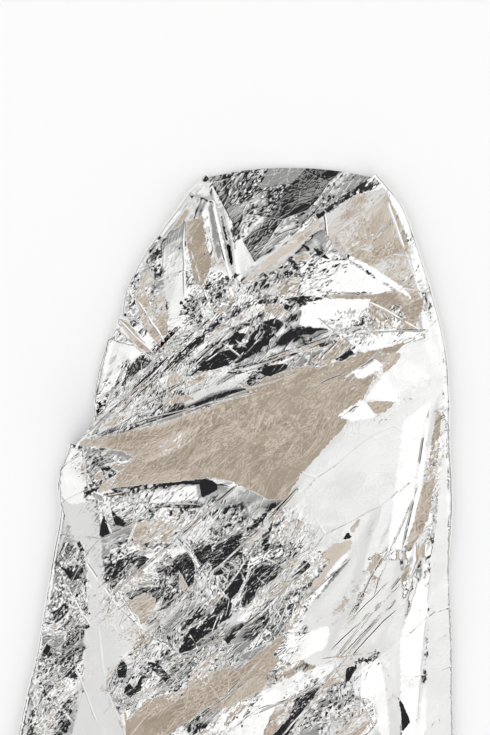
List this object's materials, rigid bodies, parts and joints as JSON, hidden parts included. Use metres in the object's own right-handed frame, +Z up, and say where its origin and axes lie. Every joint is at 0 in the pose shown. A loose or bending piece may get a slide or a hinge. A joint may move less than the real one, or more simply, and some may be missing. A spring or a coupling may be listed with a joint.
{
  "type": "emergency foil blanket",
  "caption": "Crumpled silver emergency blanket of thin metallised film, folded across itself like a wrap and laid on its back.",
  "frame": {"origin": "on the floor, under the middle of the laid blanket's bounding box", "axes": "+Z up from the floor, +Y towards the collar edge where the neck opens, +X towards the side the outer flap folds over from"},
  "size_m": [0.6517, 1.563, 0.0573],
  "materials": {
    "foil": "mirror-bright silver metallised film, both sides, finely crumpled"
  },
  "bodies": {
    "root": {"foil_blanket": "foil"}
  },
  "joints": []
}
